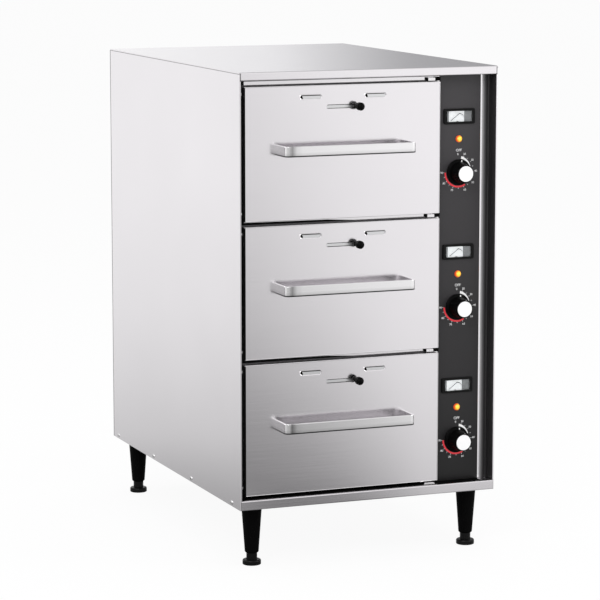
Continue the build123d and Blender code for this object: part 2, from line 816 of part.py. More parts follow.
# Drawer fronts: a skin folded back on all sides, with vent holes, a slot and guides for the vent
vent_travel = slot_length - slot_height
vent_plate_width = vent_spacing + vent_length + vent_travel + 2 * vent_plate_margin
slot_x = drawer_x - slot_offset
vent_plate_x = drawer_x + vent_travel / 2
vent_plate_top = drawer_height - vent_drop + vent_height / 2 + vent_plate_margin
vent_plate_bottom = drawer_height - slot_drop - slot_height / 2 - vent_plate_margin
vent_plate_height = vent_plate_top - vent_plate_bottom
inner_panel_sheet = 1
hollow_width = drawer_width - 2 * drawer_skin
hollow_height = drawer_height - 2 * drawer_skin
for level in levels:
    base = drawer_base(level)
    middle_z = base + drawer_height / 2
    with BuildPart() as drawer_front:
        with BuildSketch(facing(drawer_back_y)):
            with Locations((drawer_x, middle_z)):
                RectangleRounded(drawer_width, drawer_height, drawer_corner)
        extrude(amount=drawer_thickness)
        fillet(drawer_front.faces().sort_by(Axis.Y)[0].edges(), drawer_edge)
        with BuildPart(mode=Mode.PRIVATE) as hollow:
            with BuildSketch(facing(drawer_back_y)):
                with Locations((drawer_x, middle_z)):
                    RectangleRounded(hollow_width, hollow_height, drawer_corner - drawer_skin)
            extrude(amount=drawer_thickness - drawer_skin)
            fillet(hollow.faces().sort_by(Axis.Y)[0].edges(), drawer_edge - drawer_skin)
        add(hollow.part, mode=Mode.SUBTRACT)
        with BuildSketch(facing(face_y + drawer_skin)):
            for guide in (vent_plate_bottom - 2 * vent_fit, vent_plate_top + 2 * vent_fit):
                outward = -1 if guide < vent_plate_bottom else 1
                with Locations((drawer_x, base + guide + outward * drawer_skin / 2)):
                    Rectangle(vent_plate_width + 2 * vent_travel, drawer_skin)
        extrude(amount=-guide_depth)
        with BuildSketch(facing(face_y)):
            with Locations((drawer_x, base + drawer_height - vent_drop)):
                with GridLocations(vent_spacing, vent_height, 2, 1):
                    SlotOverall(vent_length, vent_height)
            with Locations((slot_x, base + drawer_height - slot_drop)):
                SlotOverall(slot_length, slot_height)
        extrude(amount=-drawer_thickness, mode=Mode.SUBTRACT)
    write(drawer_front.part, f"drawer_front_{level}")

    # Drawer frame: inner panel of the front, and the ring with lips that the pan hangs in
    panel_margin = drawer_skin + seam_gap
    ring_y = drawer_back_y + (frame_inner_length + 2 * sheet) / 2
    with BuildPart() as drawer_frame:
        with BuildSketch(facing(drawer_back_y)):
            with Locations((drawer_x, middle_z)):
                RectangleRounded(
                    drawer_width - 2 * panel_margin,
                    drawer_height - 2 * panel_margin,
                    drawer_corner - drawer_skin,
                )
            with Locations((drawer_x, base + drawer_height - vent_drop)):
                with GridLocations(vent_spacing, vent_height, 2, 1):
                    SlotOverall(vent_length, vent_height, mode=Mode.SUBTRACT)
        extrude(amount=inner_panel_sheet)
        with BuildSketch(Plane.XY.offset(base + lip_z - frame_web)):
            with Locations((drawer_x, ring_y)):
                Rectangle(frame_width, frame_inner_length + 2 * sheet)
                Rectangle(frame_inner_width, frame_inner_length, mode=Mode.SUBTRACT)
        extrude(amount=frame_web + frame_rise)
        with BuildSketch(Plane.XY.offset(base + lip_z)):
            with Locations((drawer_x, ring_y)):
                Rectangle(frame_inner_width, frame_inner_length)
                RectangleRounded(
                    frame_inner_width - 2 * frame_lip,
                    frame_inner_length - 2 * frame_lip,
                    pan_corner,
                    mode=Mode.SUBTRACT,
                )
        extrude(amount=-sheet)
    write(drawer_frame.part, f"drawer_frame_{level}")

    # Food pan: tapered well with rounded corners under a flat rim that is folded down at its edge
    well_width = pan_width - 2 * pan_rim
    well_length = pan_length - 2 * pan_rim
    with BuildPart() as food_pan:
        with BuildSketch(Plane.XY.offset(base + pan_rim_z)):
            with Locations((drawer_x, pan_y)):
                RectangleRounded(well_width, well_length, pan_corner)
        extrude(amount=-pan_depth, taper=pan_taper)
        fillet(food_pan.faces().sort_by(Axis.Z)[0].edges(), pan_bottom_radius)
        with BuildSketch(Plane.XY.offset(base + pan_rim_z)):
            with Locations((drawer_x, pan_y)):
                RectangleRounded(pan_width, pan_length, pan_rim_corner)
        extrude(amount=-rim_fold)
        with BuildSketch(Plane.XY.offset(base + pan_rim_z - rim_fold)):
            with Locations((drawer_x, pan_y)):
                RectangleRounded(
                    pan_width - 2 * pan_sheet, pan_length - 2 * pan_sheet, pan_rim_corner
                )
                RectangleRounded(well_width, well_length, pan_corner, mode=Mode.SUBTRACT)
        extrude(amount=rim_fold - pan_sheet, mode=Mode.SUBTRACT)
        with BuildPart(mode=Mode.PRIVATE) as well:
            with BuildSketch(Plane.XY.offset(base + pan_rim_z)):
                with Locations((drawer_x, pan_y)):
                    RectangleRounded(
                        well_width - 2 * pan_sheet,
                        well_length - 2 * pan_sheet,
                        pan_corner - pan_sheet,
                    )
            extrude(amount=pan_sheet - pan_depth, taper=pan_taper)
            fillet(well.faces().sort_by(Axis.Z)[0].edges(), pan_bottom_radius - pan_sheet)
        add(well.part, mode=Mode.SUBTRACT)
    write(food_pan.part, f"food_pan_{level}")

    # Handle: one strap bent forward at both ends, its feet welded to the drawer front
    handle_z = middle_z + handle_rise
    with BuildPart() as handle:
        strap_outline = [
            (drawer_x - handle_length / 2, face_y),
            (drawer_x - handle_length / 2, face_y - handle_standoff),
            (drawer_x + handle_length / 2, face_y - handle_standoff),
            (drawer_x + handle_length / 2, face_y),
        ]
        with BuildSketch(Plane.XY.offset(handle_z - handle_height / 2)):
            add(folded(strap_outline, handle_strap, Side.LEFT, handle_bend))
        extrude(amount=handle_height)
        flat_faces = handle.faces().filter_by(Axis.Z)
        fillet(flat_faces.edges().filter_by(GeomType.LINE).filter_by(Axis.X), handle_edge)
    write(handle.part, f"handle_{level}")

    # Vent: a plate with two holes behind the skin, moved by a knob in the slot
    slot_z = base + drawer_height - slot_drop
    vent_knob_x = slot_x + vent_travel / 2
    plate_y = face_y + drawer_skin + vent_fit
    with BuildPart() as vent_plate:
        with BuildSketch(facing(plate_y)):
            with Locations((vent_plate_x, base + vent_plate_bottom + vent_plate_height / 2)):
                Rectangle(vent_plate_width, vent_plate_height)
            with Locations((drawer_x + vent_travel, base + drawer_height - vent_drop)):
                with GridLocations(vent_spacing, vent_height, 2, 1):
                    SlotOverall(vent_length, vent_height, mode=Mode.SUBTRACT)
        extrude(amount=-vent_plate_sheet)
    write(vent_plate.part, f"vent_plate_{level}")

    head_start = vent_knob_reach - vent_head_length
    with BuildPart() as vent_knob:
        knob_centre = (vent_knob_x, face_y, slot_z)
        with BuildSketch(Plane(origin=knob_centre, x_dir=(1, 0, 0), z_dir=(0, 0, 1))):
            with BuildLine():
                head_side = Polyline(
                    (0, -vent_knob_reach),
                    (0, drawer_skin + vent_fit),
                    (vent_shank / 2, drawer_skin + vent_fit),
                    (vent_shank / 2, -vent_fit),
                    (vent_neck / 2, -vent_fit),
                    (vent_neck / 2, -head_start),
                    (vent_head / 2 - vent_head_edge, -head_start),
                    (vent_head / 2, -head_start - vent_head_edge),
                    (vent_head / 2, -vent_knob_reach + vent_head_length / 3),
                )
                cap_x, cap_drop = dome_point(vent_head / 2, vent_head_length / 3)
                ThreePointArc(head_side @ 1, (cap_x, cap_drop - vent_knob_reach), head_side @ 0)
            make_face()
        revolve(axis=Axis(knob_centre, (0, 1, 0)))
    write(vent_knob.part, f"vent_knob_{level}")

    # Thermostat knob: skirt with the pointer, tapered grip, and a bright cap let into its end
    knob_z = base + knob_level
    knob_centre = (control_x, panel_y - knob_gap, knob_z)
    knob_plane = Plane(origin=knob_centre, x_dir=(1, 0, 0), z_dir=(0, 0, 1))
    with BuildPart() as thermostat_knob:
        with BuildSketch(knob_plane):
            with BuildLine():
                Polyline(
                    (0, 0),
                    (knob_skirt / 2, 0),
                    (knob_skirt / 2, 2 * knob_edge - knob_skirt_thickness),
                    (knob_skirt / 2 - knob_edge, knob_edge - knob_skirt_thickness),
                    (knob_base / 2, -knob_skirt_thickness),
                    (knob_tip / 2, knob_edge - knob_length),
                    (knob_tip / 2 - knob_edge, -knob_length),
                    (cap_diameter / 2, -knob_length),
                    (cap_diameter / 2, cap_thickness - knob_length),
                    (0, cap_thickness - knob_length),
                    close=True,
                )
            make_face()
        revolve(axis=Axis(knob_centre, (0, 1, 0)))
        with BuildSketch(facing(panel_y - knob_gap)):
            with Locations((control_x, knob_z)):
                Circle(shaft_diameter / 2 + shaft_fit)
        extrude(amount=shaft_reach - knob_gap + seam_gap, mode=Mode.SUBTRACT)
    write(thermostat_knob.part, f"thermostat_knob_{level}")

    with BuildPart() as knob_cap:
        with BuildSketch(facing(panel_y - knob_gap - knob_length + cap_thickness)):
            with Locations((control_x, knob_z)):
                Circle(cap_diameter / 2)
        extrude(amount=cap_thickness)
        chamfer(knob_cap.faces().sort_by(Axis.Y)[0].edges(), cap_thickness / 4)
    write(knob_cap.part, f"knob_cap_{level}")
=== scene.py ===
import math

import bmesh
import bpy
from mathutils import Matrix, Vector


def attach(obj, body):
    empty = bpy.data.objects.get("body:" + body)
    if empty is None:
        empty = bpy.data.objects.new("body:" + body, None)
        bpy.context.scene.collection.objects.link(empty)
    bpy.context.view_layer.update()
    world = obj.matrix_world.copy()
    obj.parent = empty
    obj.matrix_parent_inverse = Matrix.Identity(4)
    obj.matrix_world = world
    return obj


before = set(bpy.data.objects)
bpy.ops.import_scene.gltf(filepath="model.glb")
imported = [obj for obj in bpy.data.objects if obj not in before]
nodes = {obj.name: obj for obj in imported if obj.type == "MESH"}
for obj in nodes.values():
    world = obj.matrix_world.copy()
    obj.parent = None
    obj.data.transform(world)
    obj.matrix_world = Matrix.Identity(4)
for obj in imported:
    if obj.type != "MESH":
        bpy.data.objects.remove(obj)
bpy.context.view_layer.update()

levels = ("bottom", "middle", "top")

# Studio: a plain pale floor that runs out of sight, and soft light from above and from the left.
# The floor and the world are white to the camera. What the metal reflects of them is graded, as
# the ends of a product studio are: darker close to the cabinet and on the photographer's side.
floor_reach = 30.0
floor_tone = (0.86, 0.86, 0.865, 1)
floor_white_share = 0.93
near_to_far = [(0.0, 0.42), (0.10, 0.68), (0.22, 0.79), (0.42, 0.90), (1.0, 1.0)]
left_to_right = [
    (0.0, 0.92),
    (0.15, 0.85),
    (0.35, 0.60),
    (0.72, 0.50),
    (0.80, 0.33),
    (0.878, 0.45),
    (0.922, 0.68),
    (0.945, 0.78),
    (0.975, 1.0),
]


def new_material(name):
    """Empty node material, with its tree and its output."""
    material = bpy.data.materials.new(name)
    material.use_nodes = True
    tree = material.node_tree
    tree.nodes.clear()
    output = tree.nodes.new("ShaderNodeOutputMaterial")
    return material, tree, output


def add_node(tree, kind, inputs=None, **attributes):
    """New node of a kind, with its attributes and the values of its inputs."""
    node = tree.nodes.new(kind)
    for label, value in attributes.items():
        setattr(node, label, value)
    for label, value in (inputs or {}).items():
        node.inputs[label].default_value = value
    return node


def ramped(tree, stops, source):
    """Colour of a ramp through the stops, each a position with a grey or a colour."""
    ramp = tree.nodes.new("ShaderNodeValToRGB")
    elements = ramp.color_ramp.elements
    while len(elements) < len(stops):
        elements.new(0.5)
    for element, (position, colour) in zip(elements, stops):
        element.position = position
        element.color = [colour] * 3 + [1] if isinstance(colour, float) else colour
    tree.links.new(source, ramp.inputs["Fac"])
    return ramp.outputs["Color"]


def multiplied(tree, first, second):
    """One colour multiplied by another."""
    mix = add_node(
        tree, "ShaderNodeMix", {"Factor": 1.0}, data_type="RGBA", blend_type="MULTIPLY"
    )
    tree.links.new(first, mix.inputs["A"])
    tree.links.new(second, mix.inputs["B"])
    return mix.outputs["Result"]


def share_of(tree, source, low, high):
    """Share that runs from 0 to 1 as the source runs from low to high."""
    share = add_node(tree, "ShaderNodeMapRange", {"From Min": low, "From Max": high})
    tree.links.new(source, share.inputs["Value"])
    return share.outputs["Result"]


def reckoned(tree, operation, *values):
    """Outcome of a sum over plain numbers and the outputs of nodes."""
    node = add_node(tree, "ShaderNodeMath", operation=operation)
    for place, value in enumerate(values):
        if isinstance(value, float):
            node.inputs[place].default_value = value
        else:
            tree.links.new(value, node.inputs[place])
    return node.outputs["Value"]


def mixed(tree, share, first, second):
    """Shader that goes from the first to the second as the share goes from 0 to 1."""
    mix = tree.nodes.new("ShaderNodeMixShader")
    if isinstance(share, float):
        mix.inputs["Fac"].default_value = share
    else:
        tree.links.new(share, mix.inputs["Fac"])
    tree.links.new(first, mix.inputs[1])
    tree.links.new(second, mix.inputs[2])
    return mix.outputs["Shader"]


bpy.ops.mesh.primitive_plane_add(size=2 * floor_reach)
floor = bpy.context.object
floor.name = "studio_floor"
floor_material, tree, output = new_material("studio_floor_paper")
paper = add_node(tree, "ShaderNodeBsdfDiffuse", {"Color": floor_tone}).outputs["BSDF"]
place = tree.nodes.new("ShaderNodeTexCoord").outputs["Object"]
distance = add_node(tree, "ShaderNodeVectorMath", operation="LENGTH")
tree.links.new(place, distance.inputs[0])
graded = ramped(tree, near_to_far, share_of(tree, distance.outputs["Value"], 0.4, 6.0))
flat_place = tree.nodes.new("ShaderNodeSeparateXYZ")
tree.links.new(place, flat_place.inputs["Vector"])
towards_front = reckoned(tree, "MULTIPLY", flat_place.outputs["Y"], -1.0)
bearing = reckoned(tree, "ARCTAN2", flat_place.outputs["X"], towards_front)
sided = ramped(tree, left_to_right, share_of(tree, bearing, math.radians(-90), math.radians(25)))
seen_in_metal = tree.nodes.new("ShaderNodeEmission")
tree.links.new(multiplied(tree, graded, sided), seen_in_metal.inputs["Color"])
white = add_node(tree, "ShaderNodeEmission", {"Strength": 1.0}).outputs["Emission"]
path = tree.nodes.new("ShaderNodeLightPath").outputs
to_camera = mixed(tree, floor_white_share, paper, white)
to_eye = mixed(tree, path["Is Camera Ray"], paper, to_camera)
to_all = mixed(tree, path["Is Glossy Ray"], to_eye, seen_in_metal.outputs["Emission"])
tree.links.new(to_all, output.inputs["Surface"])
floor.data.materials.append(floor_material)

world = bpy.data.worlds.new("studio_world")
bpy.context.scene.world = world
world.use_nodes = True
tree = world.node_tree
tree.nodes.clear()
world_output = tree.nodes.new("ShaderNodeOutputWorld")
direction = tree.nodes.new("ShaderNodeTexCoord")
parts_of_direction = tree.nodes.new("ShaderNodeSeparateXYZ")
tree.links.new(direction.outputs["Generated"], parts_of_direction.inputs["Vector"])
azimuth = reckoned(
    tree, "ARCTAN2", parts_of_direction.outputs["X"], parts_of_direction.outputs["Y"]
)
back_wall = ramped(
    tree,
    [
        (0.0, 1.0),
        (0.070, (0.86, 0.86, 0.87, 1)),
        (0.115, (0.40, 0.40, 0.41, 1)),
        (0.20, (0.30, 0.30, 0.31, 1)),
        (0.45, (0.55, 0.55, 0.56, 1)),
        (1.0, 1.0),
    ],
    share_of(tree, azimuth, math.radians(17), math.radians(77)),
)
ceiling = ramped(tree, [(0.25, 1.0), (0.6, 0.80), (0.95, 0.72)], parts_of_direction.outputs["Z"])
soft_light = add_node(tree, "ShaderNodeBackground", {"Strength": 1.0})
tree.links.new(multiplied(tree, back_wall, ceiling), soft_light.inputs["Color"])
sheet_light = add_node(
    tree, "ShaderNodeBackground", {"Color": (0.95, 0.95, 0.96, 1), "Strength": 0.7}
).outputs["Background"]
white_sky = add_node(tree, "ShaderNodeBackground", {"Color": (1, 1, 1, 1)}).outputs["Background"]
path = tree.nodes.new("ShaderNodeLightPath").outputs
to_metal = mixed(tree, path["Is Glossy Ray"], sheet_light, soft_light.outputs["Background"])
to_all = mixed(tree, path["Is Camera Ray"], to_metal, white_sky)
tree.links.new(to_all, world_output.inputs["Surface"])


def soft_box(name, place, aim, width, height, power):
    """Rectangular lamp at a place, turned towards the point that it lights."""
    lamp = bpy.data.lights.new(name, "AREA")
    lamp.shape = "RECTANGLE"
    lamp.size = width
    lamp.size_y = height
    lamp.energy = power
    holder = bpy.data.objects.new(name, lamp)
    bpy.context.scene.collection.objects.link(holder)
    holder.location = place
    holder.rotation_euler = (Vector(aim) - Vector(place)).to_track_quat("-Z", "Y").to_euler()
    return holder


cabinet_middle = (0.0, 0.0, 0.45)
soft_box("key_light", (-2.6, -3.0, 3.2), cabinet_middle, width=2.4, height=2.0, power=75)
top_light = soft_box(
    "top_light", (0.4, 0.2, 3.6), cabinet_middle, width=3.0, height=3.0, power=45
)
top_light.visible_glossy = False
soft_box("right_light", (3.2, -2.4, 1.8), cabinet_middle, width=1.4, height=2.2, power=30)

# Camera: a long lens to the left of the cabinet, a little above it, as in the photograph.
# Place, turn and lens are fitted to the cabinet's edges in it.
camera_yaw = 21.679
camera_pitch = 8.659
camera_data = bpy.data.cameras.new("camera")
camera_data.lens = 167.27
camera_data.sensor_width = 36
camera = bpy.data.objects.new("camera", camera_data)
camera.location = (-1.8873, -4.766, 1.1935)
camera.rotation_euler = (math.radians(90 - camera_pitch), 0, -math.radians(camera_yaw))
bpy.context.scene.collection.objects.link(camera)
bpy.context.scene.camera = camera
bpy.context.scene.view_settings.view_transform = "Standard"


# Casing: side walls, top, base, rear panel and corner post of brushed stainless steel sheet.
# The sheets are cut and bent, with the grain of the mill's brushing along each one's length.
def on_object(tree, node):
    """Lay a texture or a split of coordinates on the piece's own Object coordinates."""
    place = tree.nodes.new("ShaderNodeTexCoord")
    tree.links.new(place.outputs["Object"], node.inputs["Vector"])


def new_surface(name, inputs):
    """Node material of one shader, with its tree and the shader."""
    material, tree, output = new_material(name)
    shader = add_node(tree, "ShaderNodeBsdfPrincipled", inputs)
    tree.links.new(shader.outputs["BSDF"], output.inputs["Surface"])
    return material, tree, shader


def add_bump(tree, shader, height, strength, distance):
    """Let a height roughen the shader's surface."""
    bump = add_node(tree, "ShaderNodeBump", {"Strength": strength, "Distance": distance})
    tree.links.new(height, bump.inputs["Height"])
    tree.links.new(bump.outputs["Normal"], shader.inputs["Normal"])


def add_roughness(tree, shader, source, inputs):
    """Let a source set the shader's roughness, within a range."""
    rough = add_node(tree, "ShaderNodeMapRange", inputs)
    tree.links.new(source, rough.inputs["Value"])
    tree.links.new(rough.outputs["Result"], shader.inputs["Roughness"])


def brushed_steel(name, tone, grain_axis, roughness=0.17, grain=0.10, cloud=0.015, line=0.02):
    """Steel with fine brush lines along one axis and faint cloudy variation."""
    material, tree, steel = new_surface(name, {"Metallic": 1.0})
    stretch = tree.nodes.new("ShaderNodeMapping")
    along, across = 6.0, 900.0
    stretch.inputs["Scale"].default_value = [
        along if axis == grain_axis else across for axis in "XYZ"
    ]
    on_object(tree, stretch)
    lines = add_node(tree, "ShaderNodeTexNoise", {"Scale": 1.0, "Detail": 3.0})
    tree.links.new(stretch.outputs["Vector"], lines.inputs["Vector"])
    clouds = add_node(tree, "ShaderNodeTexNoise", {"Scale": 4.0, "Detail": 3.0})
    on_object(tree, clouds)
    dark = [channel * (1 - cloud) for channel in tone] + [1]
    light = [min(channel * (1 + cloud), 1) for channel in tone] + [1]
    tint = ramped(tree, [(0.3, dark), (0.7, light)], clouds.outputs["Fac"])
    line_tint = ramped(tree, [(0.35, 1.0 - line), (0.65, 1.0)], lines.outputs["Fac"])
    tree.links.new(multiplied(tree, tint, line_tint), steel.inputs["Base Color"])
    limits = {"To Min": roughness - 0.03, "To Max": roughness + 0.04}
    add_roughness(tree, steel, lines.outputs["Fac"], {"From Min": 0.3, "From Max": 0.7, **limits})
    add_bump(tree, steel, lines.outputs["Fac"], strength=grain, distance=0.00004)
    return material


def dress(material, *names):
    """Give CAD nodes their material."""
    for name in names:
        mesh = nodes[name].data
        mesh.materials.clear()
        mesh.materials.append(material)


side_steel = brushed_steel("side_steel", (0.91, 0.885, 0.91), "Z")
top_steel = brushed_steel("top_steel", (0.89, 0.865, 0.89), "Y")
flange_steel = brushed_steel("flange_steel", (0.84, 0.815, 0.84), "X")
post_steel = brushed_steel("post_steel", (0.81, 0.79, 0.81), "Z", roughness=0.14)
dress(side_steel, "left_side_panel", "right_side_panel", "rear_panel")
dress(top_steel, "top_panel")
dress(flange_steel, "base_pan")
dress(post_steel, "control_post")

# Inner frame: face frame, walls, liner, floors and leg channels of plain mill-finish sheet.
# It is spot-welded together and closed in by the casing, so little of it shows.
inner_steel = brushed_steel("inner_steel", (0.62, 0.62, 0.63), "X", roughness=0.34, line=0.05)
rail_steel = brushed_steel("rail_steel", (0.86, 0.84, 0.86), "X", roughness=0.2)
dress(inner_steel, "compartment_wall", "bay_liner", "bay_floors", "leg_channels")
dress(rail_steel, "face_frame")

# Slides and thermostat bodies: zinc-plated steel with a faint mottled bloom.
# The slides are rolled strip along the bays' walls, and the thermostats sit behind the panel.
zinc_steel = brushed_steel("zinc_steel", (0.62, 0.63, 0.65), "Y", roughness=0.34, cloud=0.08)
dress(zinc_steel, "slide_outers", "thermostats")


# Left stile: a narrow strip in the channel beside the drawers, made near black: painted shade
# of the deep channel. Its finish is nearly matt, and a little uneven.
def mottled(name, inputs, noise, stops, rough=None, bump=0):
    """Material whose colour runs through the stops with a fine noise, as its gloss may too."""
    material, tree, shader = new_surface(name, inputs)
    texture = add_node(tree, "ShaderNodeTexNoise", noise)
    on_object(tree, texture)
    tint = ramped(tree, stops, texture.outputs["Fac"])
    tree.links.new(tint, shader.inputs["Base Color"])
    if shader.inputs["Emission Strength"].default_value:
        tree.links.new(tint, shader.inputs["Emission Color"])
    if rough:
        limits = {"To Min": rough[0], "To Max": rough[1]}
        add_roughness(tree, shader, texture.outputs["Fac"], limits)
    if bump:
        add_bump(tree, shader, texture.outputs["Fac"], strength=bump, distance=0.00005)
    return material


def black_finish(name, tone, roughness, fleck=0.15, shine=0.5):
    """Black paint or moulding with a fine even texture."""
    dark = [channel * (1 - fleck) for channel in tone] + [1]
    light = [channel * (1 + fleck) for channel in tone] + [1]
    return mottled(
        name,
        {"Specular IOR Level": shine},
        {"Scale": 900.0, "Detail": 2.0},
        [(0.3, dark), (0.7, light)],
        rough=(roughness - 0.06, roughness + 0.06),
        bump=0.2,
    )


stile_shade_black = black_finish("stile_shade_black", (0.003, 0.003, 0.003), 0.5, shine=0.06)
dress(stile_shade_black, "left_stile")

# Insulation: slabs of mineral wool, straw-coloured and matt, closed in by the sheets.
# They are cut to size and pushed in between the liner and the casing.
straw = [(0.3, (0.42, 0.34, 0.17, 1)), (0.7, (0.72, 0.63, 0.38, 1))]
wool = mottled("mineral_wool", {"Roughness": 0.95}, {"Scale": 160.0, "Detail": 6.0}, straw)
dress(wool, "insulation")

# Heaters: sheathed tubes, tinted brown and blue where they have run hot.
# Each is bent to a flat loop under its bay and held by its two ends.
heat_tint = mottled(
    "heater_sheath",
    {"Metallic": 1.0, "Roughness": 0.42},
    {"Scale": 14.0},
    [(0.3, (0.20, 0.19, 0.20, 1)), (0.5, (0.30, 0.24, 0.18, 1)), (0.7, (0.22, 0.21, 0.25, 1))],
)
dress(heat_tint, "heaters")

# Legs: tapered black mouldings, each with an adjustable foot that stands out of it.
# The feet are a glossier moulding, and screw up into the legs.
leg_plastic = black_finish("leg_plastic", (0.002, 0.002, 0.002), 0.5, shine=0.03)
foot_plastic = black_finish("foot_plastic", (0.003, 0.003, 0.003), 0.3, shine=0.2)
dress(leg_plastic, "leg_sleeves")
dress(foot_plastic, "foot_front_left", "foot_rear_left", "foot_front_right", "foot_rear_right")

# Cable gland and terminal block: black moulded plastic at the back of the control compartment.
# The gland clamps the lead where it comes in, and the block joins it to the wiring.
moulding = black_finish("black_moulding", (0.012, 0.012, 0.012), 0.45)
dress(moulding, "cable_gland", "terminal_block")


# Control panel: a steel plate painted satin black, with openings for the controls.
# It slips in behind the face frame and the corner post, and its lower end is in shade.
def object_axes(material):
    """Tree of a material, with the X, Y and Z of the piece's own Object coordinates."""
    axes = material.node_tree.nodes.new("ShaderNodeSeparateXYZ")
    on_object(material.node_tree, axes)
    return material.node_tree, axes.outputs


def shade_over(material, shade):
    """Multiply a material's own colour by a shade, and give back its shader."""
    tree = material.node_tree
    shader = next(node for node in tree.nodes if node.type == "BSDF_PRINCIPLED")
    own = shader.inputs["Base Color"].links[0].from_socket
    tree.links.new(multiplied(tree, own, shade), shader.inputs["Base Color"])
    return shader


panel_paint = black_finish("panel_paint", (0.046, 0.043, 0.046), 0.34, fleck=0.06, shine=0.35)
# Painted shade: the panel's colour darkens towards its lower end.
tree, axes = object_axes(panel_paint)
shade_over(panel_paint, ramped(tree, [(0.15, 0.20), (0.80, 1.0)], axes["Z"]))
dress(panel_paint, "control_panel")

# Thermometers: black bezels that snap into the panel, white dials and clear windows.
# Each dial is grey on each side of the scale, and a needle stands over it.
bezel_black = black_finish("bezel_black", (0.003, 0.003, 0.003), 0.3, shine=0.15)
dress(bezel_black, "gauge_bezels")
# The dial cards give off light of their own colour: painted light.
glowing_dial_card = mottled(
    "glowing_dial_card",
    {"Roughness": 0.6, "Emission Strength": 0.5},
    {"Scale": 700.0},
    [(0.3, (0.86, 0.86, 0.87, 1)), (0.7, 0.95)],
)
dress(glowing_dial_card, "gauge_dials")
clear_pane, tree, output = new_material("clear_pane")
pane_gloss = add_node(tree, "ShaderNodeBsdfGlossy", {"Roughness": 0.06})
pane_clear = add_node(tree, "ShaderNodeBsdfTransparent", {"Color": (0.97, 0.98, 0.98, 1)})
pane_edge = add_node(tree, "ShaderNodeFresnel", {"IOR": 1.35}).outputs["Fac"]
pane = mixed(tree, pane_edge, pane_clear.outputs["BSDF"], pane_gloss.outputs["BSDF"])
tree.links.new(pane, output.inputs["Surface"])
dress(clear_pane, "gauge_windows")


def printed_ink(name, tone, painted_glow=0.0):
    """Ink with the slight unevenness of a screen print, glowing as painted light if set to."""
    thin = [channel * 0.88 for channel in tone] + [1]
    return mottled(
        name,
        {"Roughness": 0.5, "Emission Strength": painted_glow},
        {"Scale": 1400.0},
        [(0.3, thin), (0.6, list(tone) + [1])],
    )


def close_rings(shape, near, far):
    """Closed piece between two rings of points, with a flat end on each."""
    near = [shape.verts.new(point) for point in near]
    far = [shape.verts.new(point) for point in far]
    shape.faces.new(near)
    shape.faces.new(list(reversed(far)))
    for here in range(len(near)):
        after = (here + 1) % len(near)
        shape.faces.new([near[here], far[here], far[after], near[after]])


def plate(shape, outline, front, back):
    """Closed flat piece of an outline of (x, z) points, between two depths along Y."""
    close_rings(shape, [(x, front, z) for x, z in outline], [(x, back, z) for x, z in outline])


def bar(shape, left, right, foot, top, front, back):
    """Closed flat strip between two sides and two heights."""
    plate(shape, [(left, foot), (right, foot), (right, top), (left, top)], front, back)


def place_piece(name, mesh, body):
    """Object of a mesh, with the body that it rides on."""
    piece = bpy.data.objects.new(name, mesh)
    bpy.context.scene.collection.objects.link(piece)
    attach(piece, body)


def finish_piece(shape, name, material, body):
    """Piece of a built shape, in its material."""
    bmesh.ops.recalc_face_normals(shape, faces=shape.faces)
    mesh = bpy.data.meshes.new(name)
    shape.to_mesh(mesh)
    shape.free()
    mesh.materials.append(material)
    place_piece(name, mesh, body)


drawer_bases = {"bottom": 0.1274, "middle": 0.36727, "top": 0.60713}
control_x = 0.1789
gauge_rise = 0.1682
dial_front = -0.32462
print_depth = 0.00008
half_margin = 0.0093
needle_pivot = (-0.0030, -0.0085)
needle_outline = [
    (-0.0166, -0.0072),
    (-0.0156, -0.0078),
    (-0.0060, -0.0008),
    (0.0008, 0.0044),
    (0.0052, 0.0030),
    (0.0092, -0.0012),
    (0.0094, -0.0004),
    (0.0056, 0.0042),
    (0.0004, 0.0058),
    (-0.0064, 0.0002),
]
# Grey bands laid over each side of the dial's scale.
margin_grey = printed_ink("margin_grey", (0.42, 0.42, 0.43))
shape = bmesh.new()
for level in levels:
    scale_z = drawer_bases[level] + gauge_rise
    sides = (scale_z - half_margin, scale_z + half_margin, dial_front - print_depth, dial_front)
    for left, right in ((-0.0237, -0.0196), (0.0098, 0.0237)):
        bar(shape, control_x + left, control_x + right, *sides)
finish_piece(shape, "gauge_margins", margin_grey, "cabinet")
scale_grey = printed_ink("scale_grey", (0.20, 0.20, 0.21))
tick_foot, long_tick, short_tick, half_tick = 0.0140, 0.0165, 0.0155, 0.00018
dial_narrowing = 0.62
hub_reach, hub_height, hub_drop = 0.0022, 0.0018, 0.0012
hub_proud, needle_front, needle_back = 0.0004, 0.0006, 0.0003
shape = bmesh.new()
for level in levels:
    scale_z = drawer_bases[level] + gauge_rise
    pivot_x, pivot_z = control_x + needle_pivot[0], scale_z + needle_pivot[1]
    for step in range(9):
        angle = math.radians(-52 + 13 * step)
        across = Vector((math.cos(angle), -math.sin(angle))) * half_tick
        upward = Vector((math.sin(angle), math.cos(angle)))
        low, high = upward * tick_foot, upward * (long_tick if step % 2 == 0 else short_tick)
        corners = [low - across, low + across, high + across, high - across]
        outline = [(pivot_x + corner.x * dial_narrowing, pivot_z + corner.y) for corner in corners]
        plate(shape, outline, dial_front - print_depth, dial_front)
    hub = [
        (pivot_x + hub_reach * math.cos(turn), pivot_z - hub_drop + hub_height * math.sin(turn))
        for turn in [math.pi * step / 12 for step in range(13)]
    ]
    plate(shape, hub, dial_front - hub_proud, dial_front)
    needle = [(control_x + x, scale_z + z) for x, z in needle_outline]
    plate(shape, needle, dial_front - needle_front, dial_front - needle_back)
finish_piece(shape, "gauge_needles", scale_grey, "cabinet")

